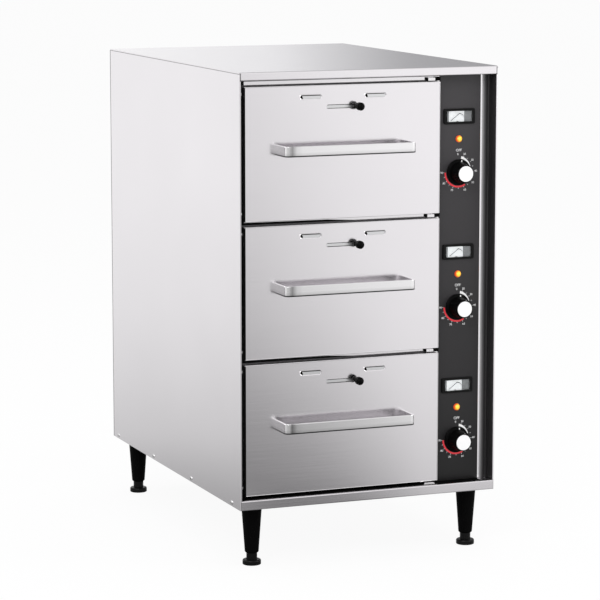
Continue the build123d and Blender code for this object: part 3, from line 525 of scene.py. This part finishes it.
# Pilot lamps: amber domes moulded in one with a collar, over small neon bulbs.
# They are pushed through the panel and held by a spring nut behind it.
amber, tree, lens = new_surface(
    "amber_lens", {"Roughness": 0.12, "Coat Weight": 0.6, "Emission Strength": 0.35}
)
tree, axes = object_axes(amber)
collar_y, dome_y = -0.3245, -0.3290
# Painted highlight: the amber runs from deep orange at the collar and left to yellow at the right.
painted_highlight_rightwards = 70.0
collar_to_dome = share_of(tree, axes["Y"], collar_y, dome_y)
off_left = reckoned(tree, "SUBTRACT", axes["X"], control_x)
ambers = ramped(
    tree,
    [(0.0, (0.62, 0.06, 0.01, 1)), (0.40, (0.95, 0.28, 0.015, 1)), (0.8, (1.0, 0.70, 0.06, 1))],
    reckoned(tree, "MULTIPLY_ADD", off_left, painted_highlight_rightwards, collar_to_dome),
)
tree.links.new(ambers, lens.inputs["Base Color"])
tree.links.new(ambers, lens.inputs["Emission Color"])
facets = add_node(tree, "ShaderNodeTexVoronoi", {"Scale": 900.0})
on_object(tree, facets)
add_bump(tree, lens, facets.outputs["Distance"], strength=0.15, distance=0.0002)
dress(amber, "pilot_lamps")

# Thermostat scales: screen-printed on the panel round each knob, with white numbers and ticks,
# a white wedge for the low settings and a red band for the high ones.
knob_rise = 0.0693
panel_front = -0.3240
ink_depth = 0.00012
# Each ink glows a little: painted light.
white_ink = printed_ink("white_ink", (0.88, 0.88, 0.88), painted_glow=0.12)
red_ink = printed_ink("red_ink", (0.80, 0.035, 0.05), painted_glow=0.12)
tick_radius, low_tick_radius = 0.0284, 0.0292
number_radius, last_number_radius = 0.0338, 0.0326
off_size, zero_size, number_size = 0.0066, 0.0054, 0.0052
number_angles = [20, 52, 88, 124, 158, 202, 236, 270]
tick_angles = [20, 36, 52, 70, 88, 106, 124, 141, 158, 180, 202, 219, 236, 253, 270]


def around(centre_z, radius, clock_angle):
    """Point (x, z) at a radius and a clockwise angle from the top of a knob."""
    turn = math.radians(clock_angle)
    return control_x + radius * math.sin(turn), centre_z + radius * math.cos(turn)


def band(shape, centre_z, start, end, inner, outer_start, outer_end):
    """Printed ring segment whose outer edge runs from one radius to another."""
    steps = 28
    turns = [start + (end - start) * step / steps for step in range(steps + 1)]
    outers = [outer_start + (outer_end - outer_start) * step / steps for step in range(steps + 1)]
    inside = [around(centre_z, inner, turn) for turn in turns]
    outside = [around(centre_z, outer, turn) for turn, outer in zip(turns, outers)]
    for here in range(steps):
        piece = [inside[here], inside[here + 1], outside[here + 1], outside[here]]
        plate(shape, piece, panel_front - ink_depth, panel_front)


shape = bmesh.new()
for level in levels:
    centre_z = drawer_bases[level] + knob_rise
    band(shape, centre_z, 11, 67, inner=0.0241, outer_start=0.0288, outer_end=0.0252)
finish_piece(shape, "low_setting_wedges", white_ink, "cabinet")
shape = bmesh.new()
for level in levels:
    centre_z = drawer_bases[level] + knob_rise
    band(shape, centre_z, 150, 270, inner=0.0240, outer_start=0.0270, outer_end=0.0270)
finish_piece(shape, "high_setting_bands", red_ink, "cabinet")


def pattern_tree(name, sizes, paint):
    """Node tree that takes points, some sizes and a material, with its input node."""
    tree = bpy.data.node_groups.new(name, "GeometryNodeTree")
    tree.interface.new_socket("Geometry", in_out="INPUT", socket_type="NodeSocketGeometry")
    for label in sizes:
        tree.interface.new_socket(label, in_out="INPUT", socket_type="NodeSocketFloat")
    tree.interface.new_socket(paint, in_out="INPUT", socket_type="NodeSocketMaterial")
    tree.interface.new_socket("Geometry", in_out="OUTPUT", socket_type="NodeSocketGeometry")
    return tree, tree.nodes.new("NodeGroupInput")


def point_value(tree, label, kind):
    """Value that every point carries under a label."""
    named = add_node(tree, "GeometryNodeInputNamedAttribute", {"Name": label}, data_type=kind)
    return named.outputs["Attribute"]


def repeat_on_points(tree, start, form, turn, paint, scale=None):
    """Set a form on every point, turned and scaled as the point says, in one material."""
    settle = tree.nodes.new("GeometryNodeInstanceOnPoints")
    tree.links.new(start.outputs["Geometry"], settle.inputs["Points"])
    tree.links.new(form, settle.inputs["Instance"])
    tree.links.new(turn, settle.inputs["Rotation"])
    if scale is not None:
        tree.links.new(scale, settle.inputs["Scale"])
    whole = tree.nodes.new("GeometryNodeRealizeInstances")
    tree.links.new(settle.outputs["Instances"], whole.inputs["Geometry"])
    painted = tree.nodes.new("GeometryNodeSetMaterial")
    tree.links.new(whole.outputs["Geometry"], painted.inputs["Geometry"])
    tree.links.new(start.outputs[paint], painted.inputs["Material"])
    end = tree.nodes.new("NodeGroupOutput")
    tree.links.new(painted.outputs["Geometry"], end.inputs["Geometry"])


def tick_tree():
    """Node tree that sets a small printed tick at every point, turned by the point's angle."""
    tree, start = pattern_tree("scale_ticks", ("Tick length", "Tick width", "Ink depth"), "Ink")
    sizes = tree.nodes.new("ShaderNodeCombineXYZ")
    for axis, label in (("X", "Tick width"), ("Y", "Ink depth"), ("Z", "Tick length")):
        tree.links.new(start.outputs[label], sizes.inputs[axis])
    tick = tree.nodes.new("GeometryNodeMeshCube")
    tree.links.new(sizes.outputs["Vector"], tick.inputs["Size"])
    turn = tree.nodes.new("ShaderNodeCombineXYZ")
    tree.links.new(point_value(tree, "tick_angle", "FLOAT"), turn.inputs["Y"])
    repeat_on_points(tree, start, tick.outputs["Mesh"], turn.outputs["Vector"], "Ink")
    return tree


def grown(name, points, attributes, tree, settings, body):
    """Plain mesh that a node tree makes from points and their attributes."""
    mesh = bpy.data.meshes.new(name + "_points")
    mesh.from_pydata(points, [], [])
    for label, (kind, values) in attributes.items():
        layer = mesh.attributes.new(label, kind, "POINT")
        for entry, value in zip(layer.data, values):
            if kind == "FLOAT":
                entry.value = value
            else:
                entry.vector = value
    carrier = bpy.data.objects.new(name + "_points", mesh)
    bpy.context.scene.collection.objects.link(carrier)
    modifier = carrier.modifiers.new("pattern", "NODES")
    modifier.node_group = tree
    for socket in tree.interface.items_tree:
        if socket.in_out == "INPUT" and socket.name in settings:
            modifier[socket.identifier] = settings[socket.name]
    evaluated = carrier.evaluated_get(bpy.context.evaluated_depsgraph_get())
    made = bpy.data.meshes.new_from_object(evaluated)
    bpy.data.objects.remove(carrier)
    made.name = name
    place_piece(name, made, body)


tick_points = []
for level in levels:
    for clock_angle in tick_angles:
        radius = low_tick_radius if clock_angle < 90 else tick_radius
        x, z = around(drawer_bases[level] + knob_rise, radius, clock_angle)
        tick_points.append((x, panel_front - ink_depth / 2, z))
grown(
    "scale_ticks",
    tick_points,
    {"tick_angle": ("FLOAT", [math.radians(angle) for angle in tick_angles] * len(levels))},
    tick_tree(),
    {"Tick length": 0.0020, "Tick width": 0.0006, "Ink depth": ink_depth, "Ink": white_ink},
    "cabinet",
)


def lettering(shape, words, size, x, z):
    """Printed words, centred on a place on the panel's face."""
    curve = bpy.data.curves.new("lettering", "FONT")
    curve.body = words
    curve.size = size
    curve.align_x = "CENTER"
    curve.align_y = "CENTER"
    curve.resolution_u = 3
    curve.extrude = ink_depth / 2
    sheet = bpy.data.objects.new("lettering", curve)
    bpy.context.scene.collection.objects.link(sheet)
    bpy.context.view_layer.update()
    cut = bpy.data.meshes.new_from_object(
        sheet.evaluated_get(bpy.context.evaluated_depsgraph_get())
    )
    middle = Matrix.Translation((x, panel_front - ink_depth / 2, z))
    cut.transform(middle @ Matrix.Rotation(math.pi / 2, 4, "X"))
    shape.from_mesh(cut)
    bpy.data.objects.remove(sheet)
    bpy.data.meshes.remove(cut)


shape = bmesh.new()
for level in levels:
    centre_z = drawer_bases[level] + knob_rise
    lettering(shape, "OFF", off_size, control_x + 0.0004, centre_z + 0.0388)
    lettering(shape, "0", zero_size, control_x - 0.0014, centre_z + 0.0318)
    for step, clock_angle in enumerate(number_angles):
        radius = last_number_radius if clock_angle > 250 else number_radius
        x, z = around(centre_z, radius, clock_angle)
        lettering(shape, str(20 + 10 * step), number_size, x, z)
bmesh.ops.remove_doubles(shape, verts=shape.verts, dist=1e-6)
finish_piece(shape, "scale_numbers", white_ink, "cabinet")

# Drawers: brushed steel fronts, inner frames, stainless pans and satin strap handles.
# The fronts are folded trays, with the handle's strap welded on from behind.
front_steel = brushed_steel("front_steel", (0.89, 0.865, 0.89), "X", roughness=0.16)
pan_steel = brushed_steel("pan_steel", (0.78, 0.78, 0.79), "Y", roughness=0.20, grain=0.08)
handle_steel = brushed_steel("handle_steel", (0.93, 0.92, 0.93), "X", roughness=0.16)
drawer_pitch = 0.239865
handle_foot = 0.11256
below_strap = 0.05
# Painted shade: the handles darken along the strap's lower edge and beside its left bend.
tree, axes = object_axes(handle_steel)
in_pitch = reckoned(tree, "SUBTRACT", axes["Z"], drawer_bases["bottom"] + handle_foot)
up_strap = reckoned(tree, "WRAP", in_pitch, drawer_pitch - below_strap, -below_strap)
painted_lower_shade = ramped(
    tree,
    [(0.0, 0.04), (0.10, 0.06), (0.15, 0.80), (0.45, 1.0)],
    share_of(tree, up_strap, 0.0, 0.018),
)
painted_bend_shade = ramped(
    tree,
    [(0.036, 1.0), (0.046, 0.36), (0.060, 0.52), (0.085, 0.88), (0.13, 1.0)],
    share_of(tree, axes["X"], -0.1687, 0.0764),
)
shade_over(handle_steel, multiplied(tree, painted_lower_shade, painted_bend_shade))
plate_steel = brushed_steel("plate_steel", (0.78, 0.78, 0.79), "X", roughness=0.3)
for level in levels:
    dress(front_steel, f"drawer_front_{level}")
    dress(inner_steel, f"drawer_frame_{level}")
    dress(pan_steel, f"food_pan_{level}")
    dress(handle_steel, f"handle_{level}")
    dress(zinc_steel, f"slide_middle_{level}", f"slide_inner_{level}")
    dress(plate_steel, f"vent_plate_{level}")


# Drawer hems and vent rims: the sheet's edge is rolled over round each front, and pressed inwards
# round the two vent holes, so that a fine line of light runs along them.
def rolled_edge(shape, outline, normals, profile):
    """Closed ring of a small profile along an outline: distances outwards, each with its depth."""
    rings = []
    for (x, z), (out_x, out_z) in zip(outline, normals):
        points = [(x + out_x * away, y, z + out_z * away) for away, y in profile]
        rings.append([shape.verts.new(point) for point in points])
    for here, ring in enumerate(rings):
        following = rings[(here + 1) % len(rings)]
        for corner in range(len(profile)):
            after = (corner + 1) % len(profile)
            shape.faces.new([ring[corner], ring[after], following[after], following[corner]])


def rounded_outline(low, high, radius, steps):
    """Points and outward normals round a rectangle with round corners, in the (x, z) plane."""
    outline, normals = [], []
    corners = (
        (high[0] - radius, high[1] - radius, 0),
        (low[0] + radius, high[1] - radius, 90),
        (low[0] + radius, low[1] + radius, 180),
        (high[0] - radius, low[1] + radius, 270),
    )
    for x, z, first in corners:
        for step in range(steps + 1):
            turn = math.radians(first + 90 * step / steps)
            normals.append((math.cos(turn), math.sin(turn)))
            outline.append((x + radius * math.cos(turn), z + radius * math.sin(turn)))
    return outline, normals


front_left, front_right = -0.2293, 0.1370
front_height = 0.23107
front_middle = (front_left + front_right) / 2
front_corner = 0.0012
edge_width, edge_overhang, edge_inset = 0.0024, 0.00025, 0.0008
skin_front = -0.3365
hem_profile = [
    (-0.0016, skin_front + 0.0002),
    (-0.0014, skin_front - 0.00012),
    (-0.0008, skin_front - 0.00030),
    (-0.0002, skin_front - 0.00018),
    (0.00015, skin_front + 0.0003),
    (-0.0004, skin_front + 0.0004),
]
hole_length, hole_height = 0.040, 0.008
hole_spacing = 0.1206
hole_drop = 0.020
hole_round = hole_height / 2
end_shade_width, edge_shade_inset = 0.0008, 0.002
upper_shade, lower_shade = 0.0021, 0.0009
slot_left, slot_right = -0.0762, -0.0192
slot_drop = 0.0375
gap_depths = (skin_front + 0.0011, skin_front + 0.00128)
rim_profile = [
    (0.0009, skin_front + 0.0001),
    (0.0006, skin_front - 0.00016),
    (0.0000, skin_front - 0.00010),
    (-0.0007, skin_front + 0.00025),
    (-0.0011, skin_front + 0.0010),
    (-0.0003, skin_front + 0.0010),
]
hem_steel = brushed_steel("hem_steel", (0.94, 0.92, 0.94), "X", roughness=0.12, grain=0.03)
# Near black for the dark joints of seams and for the pieces of painted shade.
seam_and_shade_black = black_finish("seam_and_shade_black", (0.002, 0.002, 0.002), 0.6, shine=0.05)
for level in levels:
    base = drawer_bases[level]
    top_edge = base + front_height
    shape = bmesh.new()
    outline, normals = rounded_outline((front_left, base), (front_right, top_edge), front_corner, 3)
    rolled_edge(shape, outline, normals, hem_profile)
    finish_piece(shape, f"drawer_hem_{level}", hem_steel, f"drawer_{level}")
    # Painted shade: black strips along each front's left edge and along the vent slot's edges.
    shape = bmesh.new()
    depths = (skin_front - 0.0005, skin_front + 0.0002)
    sides = (front_left - edge_overhang, front_left + edge_width)
    bar(shape, *sides, base + edge_inset, top_edge - edge_inset, *depths)
    slot_z = top_edge - slot_drop
    depths = (skin_front + 0.0007, skin_front + 0.00095)
    for foot, top in ((0.0024, 0.0034), (-0.0034, -0.0026)):
        bar(shape, slot_left, slot_right, slot_z + foot, slot_z + top, *depths)
    finish_piece(shape, f"drawer_shade_strip_{level}", seam_and_shade_black, f"drawer_{level}")
    rims = bmesh.new()
    # Painted shade: black crescents, end arcs and edge lines behind each vent hole.
    hole_shades = bmesh.new()
    for way in (-1, 1):
        hole_x = front_middle + way * hole_spacing / 2
        hole_z = top_edge - hole_drop
        low = (hole_x - hole_length / 2, hole_z - hole_round)
        high = (hole_x + hole_length / 2, hole_z + hole_round)
        outline, normals = rounded_outline(low, high, hole_round - 0.00001, 8)
        rolled_edge(rims, outline, normals, rim_profile)
        start_x, end_x = low[0] + hole_round, high[0] - hole_round
        turns = [math.radians(90 + 180 * step / 8) for step in range(9)]
        crescent = [
            (start_x + hole_round * math.cos(turn), hole_z + hole_round * math.sin(turn))
            for turn in turns
        ]
        crescent += [(start_x + 0.0022, hole_z - 0.0016), (start_x + 0.0008, hole_z + 0.0012)]
        plate(hole_shades, crescent, *gap_depths)
        turns = [math.radians(90 - 150 * step / 8) for step in range(9)]
        outer = [(hole_round, turn) for turn in turns]
        inner = [(hole_round - end_shade_width, turn) for turn in reversed(turns)]
        end_arc = [
            (end_x + radius * math.cos(turn), hole_z + radius * math.sin(turn))
            for radius, turn in outer + inner
        ]
        plate(hole_shades, end_arc, *gap_depths)
        for foot, top in ((high[1] - upper_shade, high[1]), (low[1], low[1] + lower_shade)):
            bar(hole_shades, low[0] + edge_shade_inset, high[0] - edge_shade_inset, foot, top, *gap_depths)
    finish_piece(rims, f"vent_rims_{level}", hem_steel, f"drawer_{level}")
    finish_piece(hole_shades, f"vent_hole_shades_{level}", seam_and_shade_black, f"vent_{level}")

# Drawer shades: dark grey strips of painted shade along the rails of the face frame, above each
# drawer and under the top's front flange, black sheets of painted shadow on the shelf under the
# lowest drawer, and bright catch tabs at the right ends of the strips.
gap_shade_grey = black_finish("gap_shade_grey", (0.12, 0.117, 0.12), 0.5, shine=0.15)
rail_front = -0.3225
strip_height, strip_proud = 0.0021, 0.0022
tab_height = 0.0062
shape = bmesh.new()
for level in levels:
    foot = drawer_bases[level] + front_height + 0.0002
    sides = (front_left, front_right, foot, foot + strip_height)
    bar(shape, *sides, rail_front - strip_proud, rail_front)
bar(shape, -0.2243, 0.1418, foot=0.8466, top=0.8490, front=rail_front - 0.0008, back=rail_front)
finish_piece(shape, "gap_shade_strips", gap_shade_grey, "cabinet")
# Painted shadow: black sheets on the shelf, beside the catch tabs and at the left ends between
# drawers.
shape = bmesh.new()
bar(shape, -0.2393, 0.2190, foot=0.1230, top=0.1233, front=-0.3472, back=-0.3250)
bar(shape, -0.2393, 0.1418, foot=0.1234, top=0.1281, front=-0.3246, back=-0.3236)
for level in levels:
    foot = drawer_bases[level] + front_height + 0.0010
    depths = (rail_front - 0.0045, rail_front - 0.0002)
    for left, right in ((0.1151, 0.1171), (0.1312, 0.1416)):
        bar(shape, left, right, foot, foot + tab_height, *depths)
    if level != "top":
        foot = drawer_bases[level] + front_height + 0.0023
        slope = [(-0.0200, foot), (-0.0700, foot + 0.0030)]
        wedge = [(front_left, foot), *slope, (front_left, foot + 0.0038)]
        plate(shape, wedge, rail_front - 0.0020, rail_front - 0.0002)
finish_piece(shape, "shadow_strips", seam_and_shade_black, "cabinet")
tab_steel = brushed_steel("tab_steel", (0.96, 0.94, 0.96), "X", roughness=0.3, grain=0.05)
shape = bmesh.new()
for level in levels:
    tab_foot = drawer_bases[level] + front_height + 0.0014
    outline = [
        (0.1182, tab_foot),
        (0.1300, tab_foot),
        (0.1307, tab_foot + 0.0008),
        (0.1307, tab_foot + 0.0042),
        (0.1300, tab_foot + 0.0050),
        (0.1182, tab_foot + 0.0050),
        (0.1175, tab_foot + 0.0042),
        (0.1175, tab_foot + 0.0008),
    ]
    plate(shape, outline, rail_front - 0.0062, rail_front - 0.0004)
shelf_tab = [(0.1080, 0.1234), (0.1290, 0.1234), (0.1270, 0.1262), (0.1110, 0.1262)]
plate(shape, shelf_tab, -0.3440, -0.3390)
finish_piece(shape, "catch_tabs", tab_steel, "cabinet")

# Corner post cover: a rolled strip beside the control panel, coloured as a painted reflection:
# bright steel on its left, fading to black towards the right.
# A ribbed rubber strip lines the rest of the channel.
post_front = -0.3240
cover_low, cover_high = 0.1237, 0.8488
bead_steel = brushed_steel("bead_steel", (0.97, 0.95, 0.97), "Z", roughness=0.12)
tree, axes = object_axes(bead_steel)
# Painted reflection: colour and metalness fade out from the bead's left edge rightwards.
rightwards = share_of(tree, axes["X"], 0.2207, 0.2345)
painted_reflection_fade = [(0.0, 1.0), (0.16, 1.0), (0.26, 0.42), (0.50, 0.17), (0.78, 0.05), (1.0, 0.015)]
bead_face = shade_over(bead_steel, ramped(tree, painted_reflection_fade, rightwards))
metallic_share = ramped(tree, [(0.16, 1.0), (0.26, 0.0)], rightwards)
tree.links.new(metallic_share, bead_face.inputs["Metallic"])


def upright(shape, outline, low, high):
    """Closed upright piece of an outline of (x, y) points, between two heights."""
    close_rings(shape, [(x, y, low) for x, y in outline], [(x, y, high) for x, y in outline])


shape = bmesh.new()
bead = []
bead_left, bead_width, bead_proud, bead_bulge = 0.2208, 0.0136, 0.0002, 0.0002
for step in range(15):
    along = step / 14
    bulge = bead_bulge * math.sin(math.pi * along)
    bead.append((bead_left + bead_width * along, post_front - bead_proud - bulge))
bead += [(bead_left + bead_width, post_front), (bead_left, post_front)]
upright(shape, bead, cover_low, cover_high)
finish_piece(shape, "post_bead", bead_steel, "cabinet")
post_rubber = black_finish("post_rubber", (0.022, 0.0215, 0.022), 0.3, shine=0.4)
shape = bmesh.new()
strip = [
    (0.2346, post_front),
    (0.2346, post_front - 0.0004),
    (0.2352, post_front - 0.0004),
    (0.2358, post_front - 0.0012),
    (0.2368, post_front - 0.0015),
    (0.2378, post_front - 0.0012),
    (0.2384, post_front - 0.0004),
    (0.2398, post_front - 0.0004),
    (0.2398, -0.3488),
    (0.2402, -0.3488),
    (0.2402, post_front),
]
upright(shape, strip, cover_low, cover_high)
finish_piece(shape, "post_rubber", post_rubber, "cabinet")

# Corner seams: the hairline gaps where the top's folded edge meets the side walls.
# They are left by the folding, and are too fine to weld.
shape = bmesh.new()
for way in (-1, 1):
    x = way * 0.2396
    bar(shape, x - 0.0004, x + 0.0004, foot=0.8496, top=0.8626, front=-0.34958, back=-0.3490)
finish_piece(shape, "corner_seams", seam_and_shade_black, "cabinet")
side_skin = 0.24202
seam_depth = 0.0001
seam_grey = black_finish("seam_grey", (0.20, 0.195, 0.20), 0.5, fleck=0.1)
shape = bmesh.new()
for way in (-1, 1):
    for front, back, foot, top in (
        (-0.3494, 0.3620, 0.8608, 0.8618),
        (0.3596, 0.3622, 0.1062, 0.8607),
    ):
        corners = [(front, foot), (back, foot), (back, top), (front, top)]
        skin, proud = [
            [(way * x, y, z) for y, z in corners] for x in (side_skin, side_skin + seam_depth)
        ]
        close_rings(shape, skin, proud)
finish_piece(shape, "side_seams", seam_grey, "cabinet")

# Thermostat knobs: turned black plastic with a skirt, a bright cap and white pointer marks.
# A flat on the thermostat's shaft turns each one, and the cap is pressed into its end.
knob_black = black_finish("knob_black", (0.002, 0.002, 0.002), 0.42, shine=0.05)
silver = [(0.3, 0.93), (0.7, 0.99)]
cap_bright = mottled(
    "cap_bright", {"Metallic": 0.12}, {"Scale": 1200.0}, silver, rough=(0.32, 0.48)
)
mark_angle = math.radians(12)
outward = Vector((math.sin(mark_angle), 0, math.cos(mark_angle)))
sideways = Vector((math.cos(mark_angle), 0, -math.sin(mark_angle)))
lifted = Vector((0, -0.00012, 0)) + outward * 0.00012
for level in levels:
    dress(knob_black, f"vent_knob_{level}", f"thermostat_knob_{level}")
    dress(cap_bright, f"knob_cap_{level}")
    centre_z = drawer_bases[level] + knob_rise
    shape = bmesh.new()
    for near_radius, near_y, far_radius, far_y, half_width in (
        (0.0188, -0.32905, 0.0216, -0.32825, 0.0009),
        (0.0157, -0.3525, 0.0155, -0.3549, 0.0006),
    ):
        corners = [
            Vector((control_x, y, centre_z))
            + outward * (radius + 0.00005)
            + sideways * way * half_width
            for radius, y, way in (
                (near_radius, near_y, -1),
                (near_radius, near_y, 1),
                (far_radius, far_y, 1),
                (far_radius, far_y, -1),
            )
        ]
        low = [corner - lifted * 2 for corner in corners]
        high = [corner + lifted for corner in corners]
        close_rings(shape, low, high)
    finish_piece(shape, f"knob_marks_{level}", white_ink, f"knob_{level}")

# Screws: bright pan heads that hold the casing to the frame and the stile to the face frame.
# Each has a cross recess, cut as the head is pressed, drawn as a dark cross of painted shade.
screw_steel = brushed_steel("screw_steel", (0.86, 0.86, 0.86), "X", roughness=0.22, cloud=0.04)
plating = {"Metallic": 0.4, "Roughness": 0.35}
nickel = mottled("nickel_plate", plating, {"Scale": 1500.0}, [(0.3, 0.84), (0.7, 0.94)])
dress(screw_steel, "casing_screws")
dress(nickel, "stile_screws")
recess_shade = black_finish("recess_shade", (0.02, 0.02, 0.02), 0.5)


def screw_heads(name):
    """Place, outward direction and width of each screw of a node, from its separate pieces."""
    shape = bmesh.new()
    shape.from_mesh(nodes[name].data)
    bmesh.ops.remove_doubles(shape, verts=shape.verts, dist=1e-6)
    waiting = set(shape.verts)
    heads = []
    for first in shape.verts:
        if first not in waiting:
            continue
        waiting.remove(first)
        found = [first]
        group = []
        while found:
            corner = found.pop()
            group.append(corner.co.copy())
            for edge in corner.link_edges:
                other = edge.other_vert(corner)
                if other in waiting:
                    waiting.remove(other)
                    found.append(other)
        low = Vector([min(point[axis] for point in group) for axis in range(3)])
        high = Vector([max(point[axis] for point in group) for axis in range(3)])
        middle = (low + high) / 2
        size = high - low
        pairs = [(abs(size[(axis + 1) % 3] - size[(axis + 2) % 3]), axis) for axis in range(3)]
        axis = min(pairs)[1]
        outward = Vector((0, 0, 0))
        outward[axis] = 1 if middle[axis] > 0 else -1
        tip = middle.copy()
        tip[axis] = high[axis] if middle[axis] > 0 else low[axis]
        heads.append((tip, outward, size[(axis + 1) % 3]))
    shape.free()
    return heads


def recess_tree():
    """Node tree that sets a dark cross into every screw's head, as wide and turned as it is."""
    tree, start = pattern_tree("screw_recesses", ("Recess width", "Recess depth"), "Shade")
    arms = tree.nodes.new("GeometryNodeJoinGeometry")
    for long_axis, short_axis in (("X", "Y"), ("Y", "X")):
        sizes = add_node(tree, "ShaderNodeCombineXYZ", {long_axis: 0.55})
        tree.links.new(start.outputs["Recess width"], sizes.inputs[short_axis])
        tree.links.new(start.outputs["Recess depth"], sizes.inputs["Z"])
        arm = tree.nodes.new("GeometryNodeMeshCube")
        tree.links.new(sizes.outputs["Vector"], arm.inputs["Size"])
        tree.links.new(arm.outputs["Mesh"], arms.inputs["Geometry"])
    turned = add_node(tree, "FunctionNodeAlignRotationToVector", axis="Z")
    tree.links.new(point_value(tree, "outward", "FLOAT_VECTOR"), turned.inputs["Vector"])
    width = point_value(tree, "head_width", "FLOAT")
    cross, turn = arms.outputs["Geometry"], turned.outputs["Rotation"]
    repeat_on_points(tree, start, cross, turn, "Shade", scale=width)
    return tree


heads = screw_heads("casing_screws") + screw_heads("stile_screws")
grown(
    "screw_recesses",
    [tuple(tip - outward * 0.00006) for tip, outward, width in heads],
    {
        "outward": ("FLOAT_VECTOR", [outward for tip, outward, width in heads]),
        "head_width": ("FLOAT", [width for tip, outward, width in heads]),
    },
    recess_tree(),
    {"Recess width": 0.11, "Recess depth": 0.012, "Shade": recess_shade},
    "cabinet",
)
